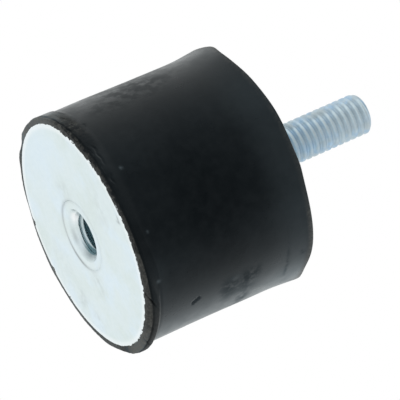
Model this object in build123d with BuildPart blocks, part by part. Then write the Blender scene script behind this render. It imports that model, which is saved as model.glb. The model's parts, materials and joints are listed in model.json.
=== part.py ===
from build123d import *
import math
import os

# A cylindrical rubber buffer for mounting machines. A block of rubber is moulded and bonded
# between two steel discs. The lower disc carries a blind tapped bush and the upper disc
# carries a screw whose shank is the stud. The buffer stands on its tapped end: the origin is
# the centre of that face and +Z runs along the axis towards the stud. Sizes are millimetres.

# Discs: two like blanks, punched from sheet, with a rolled edge on the side that the rubber
# grips. Their outer faces are bare and flush with the rubber.
plate_radius = 26.75
plate_thickness = 2.0
plate_edge_rounding = 0.6

# Rubber: its length is taken over the outer faces of both discs.
body_length = 43.2
rim_cover = 1.2

# Lip round the tapped end: a trimmed bead that steps down to a crease before the body.
lip_face_cover = 1.05
lip_proud = 0.75
lip_rise = 1.9
lip_land = 0.7
lip_step = 0.7
lip_rounding = 0.3
crease_depth = 0.2
crease_width = 1.1
crease_rounding = 0.4

# Stud end: the rubber flares out in a long curve and turns over a rounded edge.
flare_proud = 0.8
flare_length = 9.0
flare_edge_radius = 0.7

# Thread at both ends, coarse series. The depth ratio is that of an outside thread.
thread_diameter = 10.0
thread_pitch = 1.5
thread_depth_ratio = 0.6134

# Bush: a hexagon bar turned down to a neck, pressed into the disc and faced flush.
mouth_flare = 1.55
mouth_angle = 90.0
mouth_land = 1.95
bush_shoulder = 1.0
bush_chamfer = 0.8
bush_floor = 1.5
tapped_depth = 10.0
drill_point_angle = 118.0

# Screw: a hexagon head set in the rubber, a plain collar pressed in the disc, and the stud.
collar_proud = 0.25
head_shoulder = 2.75
head_height = 6.4
head_chamfer_angle = 30.0
stud_reach = 33.0

# Nicks that the trimming knife left in the lip, and a pit in the moulded side.
nick_depth = 0.35
nick_angles = (-52.0, -32.0, 159.0)
pit_length = 2.7
pit_width = 0.9
pit_depth = 0.35
pit_height = 12.5
pit_bearing = -34.6
pit_lean = 31.0

# Radii and levels that follow from the sizes above.
body_radius = plate_radius + rim_cover
lip_radius = body_radius + lip_proud
lip_top = lip_rise + lip_land
crease_level = lip_top + lip_step
flare_radius = body_radius + flare_proud
flare_top = body_length - flare_edge_radius
stud_disc_level = body_length - plate_thickness
stud_radius = thread_diameter / 2
drill_radius = (thread_diameter - thread_pitch) / 2
collar_radius = stud_radius + collar_proud
mouth_radius = stud_radius + mouth_flare
mouth_depth = (mouth_radius - drill_radius) / math.tan(math.radians(mouth_angle / 2))
neck_radius = mouth_radius + mouth_land
bush_flat_radius = neck_radius + bush_shoulder
bush_corner_radius = bush_flat_radius / math.cos(math.pi / 6)
drill_tip = tapped_depth + drill_radius / math.tan(math.radians(drill_point_angle / 2))
bush_back = drill_tip + bush_floor
head_flat_radius = collar_radius + head_shoulder
head_corner_radius = head_flat_radius / math.cos(math.pi / 6)
head_chamfer = (head_corner_radius - head_flat_radius) * math.tan(math.radians(head_chamfer_angle))
head_level = stud_disc_level - head_height

os.makedirs("parts", exist_ok=True)


# Disc at the tapped end, with the hole that takes the neck of the bush.
with BuildPart() as tapped_plate:
    with BuildSketch():
        Circle(plate_radius)
        Circle(neck_radius, mode=Mode.SUBTRACT)
    extrude(amount=plate_thickness)
    inner_rim = tapped_plate.faces().sort_by(Axis.Z)[-1].outer_wire().edges()
    fillet(inner_rim, radius=plate_edge_rounding)
tapped_plate.part.label = "tapped_plate"


# Disc at the stud end: the same blank turned over, with a hole for the collar of the screw.
with BuildPart() as stud_plate:
    with BuildSketch(Plane.XY.offset(stud_disc_level)):
        Circle(plate_radius)
        Circle(collar_radius, mode=Mode.SUBTRACT)
    extrude(amount=plate_thickness)
    inner_rim = stud_plate.faces().sort_by(Axis.Z)[0].outer_wire().edges()
    fillet(inner_rim, radius=plate_edge_rounding)
stud_plate.part.label = "stud_plate"


# Blank of the bush: a neck flush with the face, and a hexagon whose end is turned to a cone.
with BuildPart() as bush_blank:
    with BuildSketch(Plane.XY.offset(plate_thickness)):
        RegularPolygon(bush_flat_radius, 6, major_radius=False)
    extrude(amount=bush_back - plate_thickness)
    with BuildSketch(Plane.XZ):
        with BuildLine():
            Polyline(
                (0, 0),
                (bush_corner_radius, 0),
                (bush_corner_radius, bush_back - bush_chamfer),
                (bush_corner_radius - bush_chamfer, bush_back),
                (0, bush_back),
                close=True,
            )
        make_face()
    revolve(axis=Axis.Z, mode=Mode.INTERSECT)
    with BuildSketch():
        Circle(neck_radius)
    extrude(amount=plate_thickness)


# Bush: the blank with a blind hole at tapping size. The hole opens in a countersunk mouth
# and ends in the cone of the drill.
with BuildPart() as threaded_bush:
    add(bush_blank.part)
    with BuildSketch(Plane.XZ):
        with BuildLine():
            Polyline(
                (0, 0),
                (mouth_radius, 0),
                (drill_radius, mouth_depth),
                (drill_radius, tapped_depth),
                (0, drill_tip),
                close=True,
            )
        make_face()
    revolve(axis=Axis.Z, mode=Mode.SUBTRACT)
threaded_bush.part.label = "threaded_bush"


# Screw: the head rests against the inner face of its disc, the collar ends flush with the
# outer face, and the stud stands on it.
with BuildPart() as threaded_stud:
    with BuildSketch(Plane.XY.offset(head_level)):
        RegularPolygon(head_flat_radius, 6, major_radius=False)
    extrude(amount=head_height)
    with BuildSketch(Plane.XZ):
        with BuildLine():
            Polyline(
                (0, head_level),
                (head_flat_radius, head_level),
                (head_corner_radius, head_level + head_chamfer),
                (head_corner_radius, stud_disc_level),
                (0, stud_disc_level),
                close=True,
            )
        make_face()
    revolve(axis=Axis.Z, mode=Mode.INTERSECT)
    with BuildSketch(Plane.XY.offset(stud_disc_level)):
        Circle(collar_radius)
    extrude(amount=plate_thickness)
    with BuildSketch(Plane.XY.offset(body_length)):
        Circle(stud_radius)
    extrude(amount=stud_reach)
    tip_rim = threaded_stud.faces().sort_by(Axis.Z)[-1].edges()
    chamfer(tip_rim, length=thread_depth_ratio * thread_pitch)
threaded_stud.part.label = "threaded_stud"


# Rubber: its outline is turned about the axis, and the rubber is then taken away wherever
# steel was in the mould, so that it fits every face of the metal.
with BuildPart() as rubber_body:
    with BuildSketch(Plane.XZ) as outline:
        with BuildLine():
            lip_and_crease = Polyline(
                (0, 0),
                (plate_radius + lip_face_cover, 0),
                (lip_radius, lip_rise),
                (lip_radius, lip_top),
                (body_radius - crease_depth, crease_level),
                (body_radius, crease_level + crease_width),
                (body_radius, flare_top - flare_length),
            )
            TangentArc(
                lip_and_crease @ 1,
                (flare_radius, flare_top),
                tangent=lip_and_crease % 1,
            )
            stud_edge = CenterArc(
                (flare_radius - flare_edge_radius, flare_top),
                flare_edge_radius,
                start_angle=0,
                arc_size=90,
            )
            Polyline(stud_edge @ 1, (0, body_length), (0, 0))
        make_face()
        lip_corners = outline.vertices().filter_by_position(Axis.Y, lip_rise, lip_top)
        fillet(lip_corners, radius=lip_rounding)
        crease_corner = outline.vertices().filter_by_position(Axis.Y, crease_level, crease_level)
        fillet(crease_corner, radius=crease_rounding)
    revolve(axis=Axis.Z)
    add(tapped_plate.part, mode=Mode.SUBTRACT)
    add(bush_blank.part, mode=Mode.SUBTRACT)
    add(stud_plate.part, mode=Mode.SUBTRACT)
    add(threaded_stud.part, mode=Mode.SUBTRACT)
    # Each nick is the inner corner of a square that stands on the rim of the lip.
    with BuildSketch():
        for nick_angle in nick_angles:
            with PolarLocations(lip_radius, 1, start_angle=nick_angle):
                RegularPolygon(nick_depth, 4)
    extrude(amount=crease_level, mode=Mode.SUBTRACT)
    # The pit is a slot sunk straight into the side.
    pit_outward = Vector(1, 0, 0).rotate(Axis.Z, pit_bearing)
    pit_centre = pit_outward * body_radius + Vector(0, 0, pit_height)
    with BuildSketch(Plane(pit_centre, x_dir=(0, 0, 1), z_dir=pit_outward)):
        SlotOverall(pit_length, pit_width, rotation=pit_lean)
    extrude(amount=-pit_depth, mode=Mode.SUBTRACT)
rubber_body.part.label = "rubber_body"


for piece in (rubber_body, tapped_plate, threaded_bush, stud_plate, threaded_stud):
    export_step(piece.part, f"parts/{piece.part.label}.step")
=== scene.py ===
"""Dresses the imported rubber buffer. Each piece is a turned surface worked out on a grid, with its finish.

The buffer stands on its tapped end. The photograph looks at that end from below, so the floor shows only from
above. Run as a script it builds everything in order; its panel lists the same steps.
"""

import json
import math

import bmesh
import bpy
import numpy as np
from mathutils import Matrix, Vector


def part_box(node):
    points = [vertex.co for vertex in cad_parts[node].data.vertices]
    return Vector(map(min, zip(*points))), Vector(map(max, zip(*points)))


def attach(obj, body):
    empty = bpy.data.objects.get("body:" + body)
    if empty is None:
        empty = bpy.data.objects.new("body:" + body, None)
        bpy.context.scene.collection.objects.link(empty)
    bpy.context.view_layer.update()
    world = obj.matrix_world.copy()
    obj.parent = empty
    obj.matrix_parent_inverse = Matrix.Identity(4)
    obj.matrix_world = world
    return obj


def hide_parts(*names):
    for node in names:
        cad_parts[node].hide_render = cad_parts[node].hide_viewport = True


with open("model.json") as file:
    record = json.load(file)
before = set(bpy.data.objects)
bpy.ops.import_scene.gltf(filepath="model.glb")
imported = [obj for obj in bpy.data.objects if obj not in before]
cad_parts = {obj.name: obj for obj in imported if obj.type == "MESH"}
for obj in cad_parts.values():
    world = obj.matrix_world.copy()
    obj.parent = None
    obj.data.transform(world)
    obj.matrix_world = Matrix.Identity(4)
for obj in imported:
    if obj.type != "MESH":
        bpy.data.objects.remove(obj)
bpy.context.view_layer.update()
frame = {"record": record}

bl_info = {
    "name": "Rubber Buffer",
    "version": (1, 0, 0),
    "blender": (4, 5, 0),
    "location": "3D View > Sidebar > Buffer",
    "description": "Builds the rubber, discs, bush and stud of a machine buffer, and its studio",
    "category": "Object",
}

MM = 0.001
MERGE_DISTANCE = 0.00005 * MM
SHARP_ANGLE = math.radians(32)
TURN = 2 * math.pi

# Columns round each mesh, rows of a thread in one pitch, and a thread's crest and root flats as shares of its
# pitch.
COLUMNS = 480
THREAD_COLUMNS = 144
FLOOR_COLUMNS = 96
ROWS_PER_PITCH = 16
BORE_FLATS = (0.10, 0.08)
STUD_FLATS = (0.30, 0.22)

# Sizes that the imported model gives, in metres.
RUBBER_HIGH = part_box("rubber_body")[1]
DISC_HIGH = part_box("tapped_plate")[1]
BUSH_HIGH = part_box("threaded_bush")[1]
STUD_DISC_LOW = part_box("stud_plate")[0]
SCREW_LOW, SCREW_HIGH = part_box("threaded_stud")
MOUNT_RADII = {m["name"]: m["dims"].get("r_mm", 0) * MM for m in frame["record"]["mounts"]}

BODY_LENGTH = RUBBER_HIGH.z
FLARE_RADIUS = RUBBER_HIGH.x
DISC_RADIUS = DISC_HIGH.x
DISC_THICKNESS = DISC_HIGH.z
STUD_DISC_LEVEL = STUD_DISC_LOW.z
BUSH_BACK = BUSH_HIGH.z
BUSH_CORNER = BUSH_HIGH.x
HEAD_LEVEL = SCREW_LOW.z
HEAD_CORNER = SCREW_HIGH.x
HEAD_FLAT = SCREW_HIGH.y
STUD_TIP = SCREW_HIGH.z
STUD_RADIUS = MOUNT_RADII["stud"]
DRILL_RADIUS = MOUNT_RADII["tapped_hole"]

# Bearings in degrees of the sides that are lowest and highest in the picture.
LOWEST = -2
HIGHEST = -178

# Rows of the rubber's side: from and to a height in millimetres, and how many. They are close at the lip and
# at the pit. More follow from the last height up to the rounded edge.
SIDE_ROWS = (
    (0, 5, 56),
    (5, 10.6, 9),
    (10.6, 14.6, 18),
    (14.6, 33, 14),
)

# Bearing of a second, shallower crack in the lip. The first is at the step between two knife cuts.
CRACK_BEARING = math.radians(-21)

# Where the far rim of the rubber stands higher or lower: bearing in degrees, share of the rim lift and width
# in degrees.
RIM_RISES = (
    (-164, 1.25, 9),
    (-139, -0.20, 9),
    (-106, 0.25, 11),
    (-80, 0.2, 6),
    (-66, -0.25, 17),
    (-20.5, -0.66, 9.5),
    (-4, 0.50, 5),
)

# Where the lip's edge on the face lies further out or in: bearing in degrees, millimetres, width in degrees.
FACE_EDGE_BUMPS = (
    (28, 0.22, 7),
    (82, 0.35, 7),
    (112, -0.60, 9),
    (143, 0.45, 5),
    (154, -0.28, 5),
    (161, 0.3, 3),
)

# Powdery and bleached patches on the rubber's side: bearing in degrees, then height, width round the ring and
# height of the patch in millimetres, and strength.
SCUFFS = (
    (-37, 28.0, 2.2, 1.5, 0.9),
    (-35, 25.5, 3.0, 1.5, 0.9),
    (-33, 21.5, 3.8, 2.4, 0.9),
    (-17, 26.0, 3.0, 1.2, 0.7),
    (-29, 26.5, 2.6, 1.8, 0.4),
    (-36, 40.5, 0.8, 0.7, 0.9),
    (-141, 4.5, 0.6, 0.5, 1.0),
    (-146, 3.0, 0.8, 0.6, 0.8),
    (-158, 22.0, 9.0, 8.0, 0.3),
    (-149, 14.0, 5.0, 12.0, 0.24),
)
PALE_SPECKS = (
    (-110.9, 4.8, 0.35, 0.3, 0.4),
    (-56.0, 3.4, 0.35, 0.5, 0.35),
    (-80, 4.0, 0.3, 0.3, 0.25),
    (-16, 3.6, 0.6, 0.3, 0.4),
    (-38, 22.6, 0.8, 1.6, 0.10),
    (-161, 3.0, 1.6, 0.35, 0.2),
    (-154, 1.3, 2.0, 0.4, 0.35),
)

# Marks on the discs' faces, and a bluish haze on them: x, y, length, width, lean and strength, in millimetres
# and degrees.
TAPPED_BRUISES = (
    (-0.2, -24.7, 0.8, 0.3, 10, 0.7),
    (0.5, -24.2, 0.35, 0.8, 30, 0.5),
)
TAPPED_SMUDGES = (
    (13.1, 16.4, 2.2, 2.4, 60, 0.5),
    (11.2, 2.5, 3.0, 1.8, 10, 0.4),
    (-11.0, -1.0, 2.5, 3.0, 10, 0.3),
    (19.0, 12.0, 2.5, 2.0, 0, 0.3),
    (-3.0, -17.0, 5.0, 4.0, 0, 0.2),
    (3.0, 18.0, 6.0, 4.0, 0, 0.15),
)
STUD_BRUISES = ((12.0, -9.0, 1.5, 0.4, 30, 0.4),)
STUD_SMUDGES = (
    (-10.0, 12.0, 5.0, 3.0, 20, 0.4),
    (8.0, 14.0, 3.0, 3.0, 0, 0.3),
)
FACE_MIST = ((-21, 5.5, 8, 11, 0, 0.9),)

# Teeth of the rubber film on the disc: bearing in degrees, half the reach in millimetres, width in radians.
FILM_TEETH = (
    (80, 0.6, 0.03),
    (62.5, 0.6, 0.03),
    (106, 0.6, 0.03),
    (-23, 0.4, 0.02),
)

# Marks on the bush's countersink, the last one painted shade on its lower end: bearing in degrees, height
# in millimetres, width in radians, height of each spot in millimetres, and strength.
CONE_MARKS = (
    (188, 0.5, 0.16, 0.3, 0.7),
    (100, 0.65, 0.25, 0.35, 0.3),
    (85, 0.6, 0.2, 0.5, 0.2),
    (30, 1.3, 0.5, 0.9, 0.6),
)

# The floor's level, and the radii of its rings as shares of its own radius.
FLOOR_LEVEL = -0.02 * MM
FLOOR_RINGS = (1.0, 0.5, 0.15, 0.04, 0.0)

# The world is softer round this direction, on the camera's side, and cooler in reflections.
SOFT_SIDE = (0.0, -0.94, 0.34)
WHITE = (1, 1, 1)
COOL_WHITE = (0.955, 0.995, 1.0)

# Lamps, all at one distance in metres: name, direction from the buffer, size in metres and share of the lamp
# level.
LAMP_DISTANCE = 0.8
LAMPS = (
    ("top lamp", (0.2, -0.3, 1.0), 0.5, 1.0),
    ("side lamp", (-1.0, 0.15, 0.5), 0.4, 1.0),
    ("low lamp", (0.4, -0.6, -1.0), 0.6, 0.8),
)


def length(name, description, millimetres):
    """A size property, given in millimetres and kept in metres."""
    return bpy.props.FloatProperty(
        name=name, description=description, default=millimetres * MM, unit="LENGTH", precision=5
    )


def number(name, description, default):
    """A plain number property."""
    return bpy.props.FloatProperty(name=name, description=description, default=default)


def bearing(name, description, degrees):
    """An angle round the axis, given in degrees and kept in radians."""
    return bpy.props.FloatProperty(
        name=name, description=description, default=math.radians(degrees), subtype="ANGLE"
    )


def colour(name, description, red, green, blue):
    """A linear colour property."""
    return bpy.props.FloatVectorProperty(
        name=name, description=description, default=(red, green, blue), subtype="COLOR", min=0, max=1
    )


class RubberSettings(bpy.types.PropertyGroup):
    """Sizes and finish of the moulded rubber."""

    body_radius: length("Body radius", "Radius of the nearly straight side", 28.05)
    lip_proud: length("Lip proud", "How far the lip stands out from the side", 0.75)
    lip_loss: length("Lip loss", "How much less it stands out where the lip is low", 0.46)
    lip_fall: length("Lip fall", "Height over which the lip falls to its crease", 0.8)
    crease_level: length("Crease level", "Height of the crease behind the lip", 3.3)
    crease_climb: length("Crease climb", "How much the crease climbs where the lip is low", 1.5)
    crease_depth: length("Crease depth", "Depth of that crease", 0.08)
    corner_cut: length("Corner cut", "How much the knife took off the lip at the face", 0.9)
    corner_more: length("Corner more", "How much more it took off where it leaned", 0.4)
    corner_height: length("Corner height", "Height of the trimmed corner", 0.7)
    groove_level: length("Groove level", "Height of the cut line above the trimmed corner", 0.85)
    groove_depth: length("Groove depth", "Depth of the cut line", 0.30)
    flare_length: length("Flare length", "Length of the flare at the stud end", 9.0)
    edge_radius: length("Edge radius", "Rounding of the rubber at the stud end", 0.35)
    bulge: length("Bulge", "How much further the flare stands out below the pit", 0.3)
    rim_lift: length("Rim lift", "How far the far rim rises or falls in places", 1.0)
    wave: length("Wave", "Slow unevenness of the lip", 0.08)
    rag: length("Rag", "Quick raggedness of the trimmed edges", 0.05)
    flash: length("Flash", "How far the thin edge of rubber creeps over the disc", 0.10)
    step_bearing: bearing("Step bearing", "Where one knife cut ends and the next begins", -52)
    nick_bearing: bearing("Nick bearing", "Where the flash has a torn tab", -32)
    pit_bearing: bearing("Pit bearing", "Where the pit in the side is", -34.6)
    pit_height: length("Pit height", "Height of the pit", 12.5)
    pit_length: length("Pit length", "Length of the pit", 2.7)
    pit_width: length("Pit width", "Width of the pit", 0.9)
    pit_depth: length("Pit depth", "Depth of the pit", 0.35)
    pit_lean: bearing("Pit lean", "How far the pit leans from the axis", 31)
    black: colour("Black", "Moulded surface", 0.0024, 0.0034, 0.0042)
    trimmed: colour("Trimmed", "Knife-trimmed surface", 0.090, 0.091, 0.084)
    dust: colour("Dust", "Powder left in patches on the side", 0.030, 0.035, 0.038)
    # Paler rubber: for wear, and for the painted sheen on the sides and the lip.
    worn: colour("Worn", "Rubber bleached by wear", 0.14, 0.178, 0.198)
    seed: bpy.props.IntProperty(name="Seed", description="Seed of the uneven edges", default=7)


class ZincSettings(bpy.types.PropertyGroup):
    """Sizes and finish of the plated discs, bush and screw."""

    rim_spread: length("Rim spread", "How far punching spread the disc's rim", 0.22)
    disc_edge: length("Disc edge", "Rounding of the disc's outer face", 0.22)
    disc_inner_rounding: length("Inner rounding", "Rounding of the disc inside the rubber", 0.6)
    seam: length("Seam", "Chamfer on both sides of each pressed joint", 0.09)
    neck_radius: length("Neck radius", "Radius of the bush in its disc", 8.5)
    mouth_radius: length("Mouth radius", "Radius of the countersunk mouth", 6.55)
    bush_chamfer: length("Bush chamfer", "Chamfer on the back of the bush", 0.8)
    tapped_depth: length("Tapped depth", "Depth of the tapped hole", 10.0)
    drill_tip: length("Drill tip", "Depth of the drill's point", 12.55)
    collar_radius: length("Collar radius", "Radius of the screw's collar in its disc", 5.25)
    head_chamfer: length("Head chamfer", "Height of the chamfer on the screw's head", 0.714)
    bore_pitch: length("Bore pitch", "Pitch of the tapped hole's thread", 1.5)
    bore_start: number("Bore start", "Turn by which the hole's thread is ahead", -0.3125)
    stud_pitch: length("Stud pitch", "Pitch of the stud's thread", 1.8)
    stud_root: length("Stud root", "Root radius of the stud's thread", 4.55)
    clear: colour("Clear zinc", "Colour of the plated discs", 0.770, 0.838, 0.848)
    bluish: colour("Bluish cloud", "First cloud on the discs", 0.765, 0.850, 0.905)
    greenish: colour("Greenish cloud", "Second cloud on the discs", 0.740, 0.808, 0.798)
    # Marks and darker seams, and painted shade on the bush's countersink.
    stain: colour("Stain", "Colour of marks on the discs and the bush", 0.308, 0.328, 0.336)
    stud: colour("Stud", "Colour of the stud", 0.575, 0.655, 0.695)
    # Also the colour of the painted reflection on the stud's front.
    stud_blue: colour("Stud blue", "Blue tint on the stud", 0.455, 0.615, 0.78)
    stud_warm: colour("Stud warm", "Grey tint on the stud", 0.60, 0.66, 0.68)
    # Stains, and painted shade in the stud's grooves and on its sides.
    stud_stain: colour("Stud stain", "Colour of stains and grooves on the stud", 0.19, 0.32, 0.44)
    # Painted shade deep in the tapped hole.
    bore: colour("Bore", "Colour deep in the tapped hole", 0.10, 0.19, 0.22)
    film: colour("Film", "Thin rubber smeared over the disc's rim", 0.045, 0.047, 0.043)


class StageSettings(bpy.types.PropertyGroup):
    """Floor, lamps and camera."""

    floor_radius: length("Floor radius", "Radius of the round floor", 1500)
    floor_fade: length("Floor fade", "Radius at which the floor starts to fade out", 250)
    floor_colour: colour("Floor", "Pale floor", 0.87, 0.87, 0.87)
    ambient: number("Ambient", "Strength of the world on plain surfaces", 0.55)
    camera_side: number("Camera side", "Strength of the world's reflection on the camera's side", 0.50)
    lamp_level: number("Lamp level", "Brightness that each lamp gives a white surface", 0.40)
    lens: bpy.props.FloatProperty(
        name="Lens", description="Focal length", default=225.0, subtype="DISTANCE_CAMERA"
    )
    distance: length("Distance", "Distance from the camera to the axis", 525.62)
    drop: length("Drop", "How far the camera is below the tapped face", 192.36)
    aim_x: length("Aim X", "Point in the middle of the picture", 3.33)
    aim_y: length("Aim Y", "Point in the middle of the picture", -9.80)
    aim_z: length("Aim Z", "Point in the middle of the picture", 25.65)
    roll: bearing("Roll", "Turn of the camera about its line of sight", 66.07)


def smooth(value):
    """Rises from 0 to 1 as value does, level at both ends."""
    share = np.clip(value, 0, 1)
    return share * share * (3 - 2 * share)


def hump(value, centre, width):
    """A bell of height 1 round centre."""
    return np.exp(-(((value - centre) / width) ** 2))


def turned_by(angle, centre):
    """Angle from centre, the short way round, in radians."""
    return (angle - centre + math.pi) % TURN - math.pi


def between(angle, first, last, blend):
    """1 from bearing first to bearing last, both in degrees, and 0 outside, with soft ends."""
    middle = math.radians((first + last) / 2)
    half = math.radians((last - first) / 2)
    return smooth((half - np.abs(turned_by(angle, middle))) / math.radians(blend) + 0.5)


def bell(level, at, width):
    """A bell of height 1 round a height, which is given in millimetres, as its width is."""
    return hump(level, at * MM, width * MM)


def bell_at(angle, degrees, width):
    """A bell of height 1 round a bearing in degrees. The width is in radians."""
    return hump(turned_by(angle, math.radians(degrees)), 0, width)


def ring_bells(angle, bells):
    """Sum of bells round the ring, each given by a bearing in degrees, a height and a width in degrees."""
    return sum(high * bell_at(angle, degrees, math.radians(wide)) for degrees, high, wide in bells)


def rise(level, start, span):
    """Rises from 0 to 1 as level goes on from start by span, both in millimetres."""
    return smooth((level - start * MM) / (span * MM))


def fall(level, start, span):
    """What rise leaves of 1."""
    return 1 - rise(level, start, span)


def spot(around, level, degrees, at, wide, high):
    """A soft spot: a bell round a bearing times one round a height. The bearing is in degrees, the width in
    radians, and both heights are in millimetres."""
    return bell_at(around, degrees, wide) * bell(level, at, high)


def ring_noise(angle, seed, slowest, fastest, fading):
    """Sum of whole waves round the ring, each with its own phase, the quicker ones smaller. About 1 high."""
    random = np.random.default_rng(seed)
    counts = np.arange(slowest, fastest + 1)
    heights = counts ** -fading * random.normal(size=counts.size)
    heights = heights / math.sqrt(2 * (heights ** 2).sum())
    phases = random.uniform(0, TURN, counts.size)
    return (heights[:, None] * np.cos(counts[:, None] * angle + phases[:, None])).sum(axis=0)


def straight(first, last, step):
    """Points of an outline from first up to last, last left out, at most a step apart."""
    count = max(1, math.ceil(math.dist(first, last) / step))
    share = np.arange(count)[:, None] / count
    return np.array(first) * (1 - share) + np.array(last) * share


def bend(centre, radius, first, last, count):
    """Points of an arc from angle first up to angle last in degrees, last left out."""
    angle = np.radians(np.linspace(first, last, count, endpoint=False))[:, None]
    return np.array(centre) + radius * np.concatenate([np.cos(angle), np.sin(angle)], axis=1)


def legs(points, steps, to_end=False):
    """Points of an outline along straight legs, each with its own step in millimetres. The last point is
    left out unless the outline goes to its end."""
    rows = [straight(first, last, step * MM) for first, last, step in zip(points, points[1:], steps)]
    return np.concatenate(rows + [points[-1:]] if to_end else rows)


def hexed(radius, corner, angle, where):
    """The radius cut down to a hexagon with a corner on the X axis, in the places asked for. The hexagon's
    radius is the flat's distance over the cosine from the flat."""
    sixth = math.pi / 3
    hexagon = corner * math.cos(sixth / 2) / np.cos((angle % sixth) - sixth / 2)
    return np.where(where, np.minimum(radius, hexagon), radius)


def turned_mesh(name, angle, *parts):
    """A turned surface. A grid point is (radius cos angle, radius sin angle, height), with rows along the
    outline and columns round the axis. Each part gives the radius and the height of rows, one part after
    another. The outline runs with the solid on its left, so faces point out. Points that meet, at the poles,
    in the seam and where rows end, are merged."""
    radius, height = (np.concatenate(rows) for rows in zip(*parts))
    points = np.stack([radius * np.cos(angle), radius * np.sin(angle), height], axis=-1)
    index = np.arange(radius.size).reshape(radius.shape)
    quads = np.stack([index[:-1, :-1], index[:-1, 1:], index[1:, 1:], index[1:, :-1]], axis=-1)
    count = quads.size // 4
    mesh = bpy.data.meshes.new(name)
    mesh.vertices.add(radius.size)
    mesh.vertices.foreach_set("co", points.ravel())
    mesh.loops.add(count * 4)
    mesh.loops.foreach_set("vertex_index", quads.ravel())
    mesh.polygons.add(count)
    mesh.polygons.foreach_set("loop_start", np.arange(0, count * 4, 4))
    mesh.update(calc_edges=True)
    work = bmesh.new()
    work.from_mesh(mesh)
    bmesh.ops.remove_doubles(work, verts=work.verts, dist=MERGE_DISTANCE)
    work.to_mesh(mesh)
    work.free()
    mesh.polygons.foreach_set("use_smooth", np.ones(len(mesh.polygons), bool))
    mesh.set_sharp_from_angle(angle=SHARP_ANGLE)
    mesh.validate()
    return mesh


def paint(mesh, **rules):
    """Gives every vertex a value by each name: its rule takes radius, height and angle as whole arrays."""
    place = np.empty(len(mesh.vertices) * 3)
    mesh.vertices.foreach_get("co", place)
    x, y, z = place.reshape(-1, 3).T
    for name, rule in rules.items():
        layer = mesh.attributes.new(name, "FLOAT", "POINT")
        layer.data.foreach_set("value", rule(np.hypot(x, y), z, np.arctan2(y, x)).astype(np.float32))


def add_piece(context, mesh, material, node):
    """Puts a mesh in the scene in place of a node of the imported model."""
    piece = bpy.data.objects.new(mesh.name, mesh)
    context.scene.collection.objects.link(piece)
    mesh.materials.append(material)
    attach(piece, "root")
    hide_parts(node)
    return piece


def ring_angles(columns):
    """Angles of the columns, the last one on top of the first."""
    return np.linspace(0, TURN, columns + 1)


def carry(outline, columns):
    """The same outline of (radius, height) points at every column."""
    points = np.array(outline)
    return np.repeat(points[:, :1], columns, axis=1), np.repeat(points[:, 1:], columns, axis=1)


def thread_rows(angle, low, high, pitch):
    """Heights of helical rows between two levels. Each row climbs one pitch round the axis, so that crests
    lie along the mesh's own edges, and rows that run past a level are laid on it."""
    rows = math.ceil((high - low) / pitch + 1) * ROWS_PER_PITCH + 1
    level = low - pitch + np.arange(rows)[:, None] * pitch / ROWS_PER_PITCH
    return np.clip(level + pitch * angle[None, :] / TURN, low, high)


def thread_wave(height, angle, pitch, flats):
    """Share of the thread's depth at a point: 1 on the crest flat, 0 on the root flat and straight flanks
    between."""
    crest, root = flats
    phase = (height / pitch - angle / TURN) % 1.0
    from_crest = np.minimum(phase, 1.0 - phase)
    flank = (1.0 - crest - root) / 2
    return 1.0 - np.clip((from_crest - crest / 2) / flank, 0, 1)


def set_inputs(tree, sockets, values):
    """Links a socket to each named input, or sets a plain value."""
    for name, value in values.items():
        if isinstance(value, bpy.types.NodeSocket):
            tree.links.new(value, sockets[name])
        else:
            sockets[name].default_value = value


def add_node(tree, kind, values=None, **settings):
    """Adds a shader node and sets its settings and inputs."""
    node = tree.nodes.new(kind)
    for name, value in settings.items():
        setattr(node, name, value)
    set_inputs(tree, node.inputs, values or {})
    return node


def rgba(value):
    """A colour property as a socket takes it."""
    return (*value, 1.0)


def mix_colours(tree, share, first, second):
    """Mixes two colours by share and returns the socket."""
    node = add_node(tree, "ShaderNodeMix", {0: share, 6: first, 7: second}, data_type="RGBA")
    return node.outputs[2]


def ramp(tree, value, low, high, to_low=0.0, to_high=1.0):
    """Maps value from low..high to to_low..to_high with soft ends."""
    node = add_node(
        tree,
        "ShaderNodeMapRange",
        {"Value": value, "From Min": low, "From Max": high, "To Min": to_low, "To Max": to_high},
        interpolation_type="SMOOTHSTEP",
    )
    return node.outputs[0]


def maths(tree, operation, first, second):
    """One step of arithmetic with two values."""
    node = add_node(tree, "ShaderNodeMath", {0: first, 1: second}, operation=operation)
    return node.outputs[0]


def plus(tree, first, second):
    """Both values added."""
    return maths(tree, "ADD", first, second)


def times(tree, first, second):
    """Both values multiplied."""
    return maths(tree, "MULTIPLY", first, second)


def rest_of(tree, value):
    """What is left of 1."""
    return maths(tree, "SUBTRACT", 1.0, value)


def larger(tree, first, second):
    """The larger of both values."""
    return maths(tree, "MAXIMUM", first, second)


def noise(tree, vector, size, detail=3.0, rough=0.5):
    """Noise whose lumps are about size metres across."""
    node = add_node(
        tree,
        "ShaderNodeTexNoise",
        {"Vector": vector, "Scale": 1 / size, "Detail": detail, "Roughness": rough},
    )
    return node.outputs[0]


def new_group(name, inputs, outputs):
    """An empty shader group with named sockets, the values given to it and the sockets it fills. Inputs and
    outputs give the kind of each socket by its name."""
    group = bpy.data.node_groups.new(name, "ShaderNodeTree")
    for way, sockets in (("INPUT", inputs), ("OUTPUT", outputs)):
        for label, kind in sockets.items():
            group.interface.new_socket(label, in_out=way, socket_type="NodeSocket" + kind)
    return group, group.nodes.new("NodeGroupInput").outputs, group.nodes.new("NodeGroupOutput").inputs


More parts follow.
